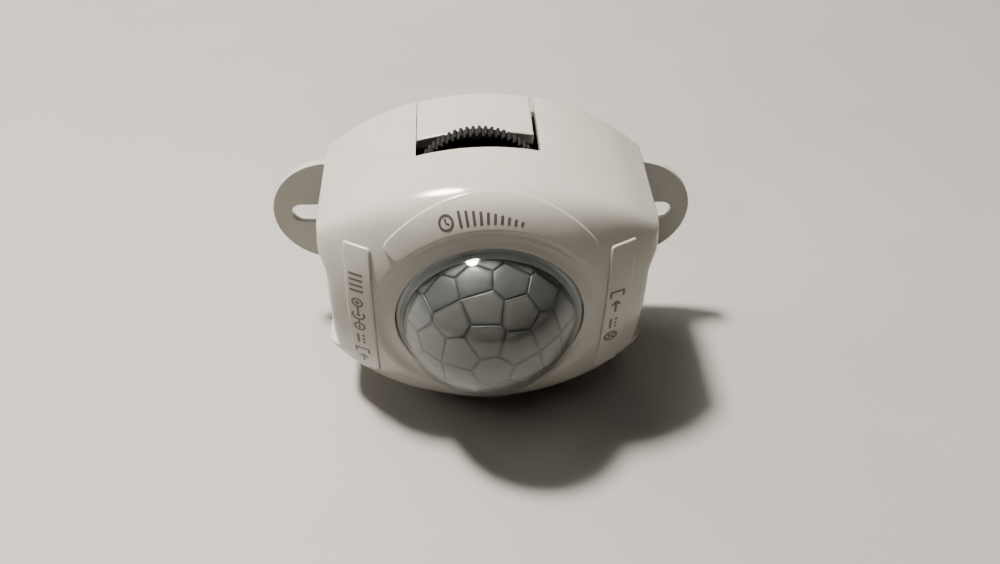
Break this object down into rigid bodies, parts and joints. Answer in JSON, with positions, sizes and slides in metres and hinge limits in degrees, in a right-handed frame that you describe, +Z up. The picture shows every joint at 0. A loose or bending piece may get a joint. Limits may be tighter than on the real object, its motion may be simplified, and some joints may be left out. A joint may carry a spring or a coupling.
{
  "type": "motion sensor",
  "caption": "Passive infrared motion sensor switch with a domed faceted lens, two slotted mounting ears, a knurled time wheel and a power socket on each side.",
  "frame": {"origin": "centre of the flat rear mounting face, on the lens axis", "axes": "+X to the right seen from the front, +Y to the rear out of the mounting face, +Z up; the lens looks along -Y"},
  "size_m": [0.0604, 0.0322, 0.0398],
  "materials": {
    "white_abs": "smooth glossy moulding",
    "lens_polythene": "milky translucent moulding with a smooth outer skin",
    "black_nylon": "satin moulding",
    "black_epoxy": "fine matt moulding",
    "plated_steel": "bright plated",
    "tinned_brass": "tinned",
    "board": "solder mask over glass fibre laminate",
    "ceramic": "fired ceramic",
    "filter_glass": "polished dark infrared filter"
  },
  "bodies": {
    "sensor": {"front_housing": "white_abs", "rear_cover": "white_abs", "fresnel_lens": "lens_polythene", "lens_retainer": "black_nylon", "potentiometer_body": "black_epoxy", "input_jack_body": "black_epoxy", "output_jack_body": "black_epoxy", "control_chip": "black_epoxy", "power_transistor": "black_epoxy", "voltage_regulator": "black_epoxy", "protection_diode": "black_epoxy", "gain_resistor": "black_epoxy", "timing_resistor": "black_epoxy", "gate_resistor": "black_epoxy", "cover_screw_upper_left": "plated_steel", "cover_screw_upper_right": "plated_steel", "cover_screw_lower_left": "plated_steel", "cover_screw_lower_right": "plated_steel", "pir_header": "plated_steel", "pir_can": "plated_steel", "wheel_rivet": "plated_steel", "filter_capacitor": "plated_steel", "input_jack_pin": "tinned_brass", "input_jack_spring": "tinned_brass", "output_jack_pin": "tinned_brass", "output_jack_spring": "tinned_brass", "circuit_board": "board", "timing_capacitor": "ceramic", "signal_capacitor": "ceramic", "pir_window": "filter_glass"},
    "time_wheel": {"time_wheel": "black_nylon"}
  },
  "joints": [
    {"name": "time_adjust", "type": "hinge", "parent": "sensor", "child": "time_wheel", "pos_m": [-0.0012, -0.00995, 0.0123], "axis": [0, 1, 0], "range_deg": [-135, 135]}
  ]
}
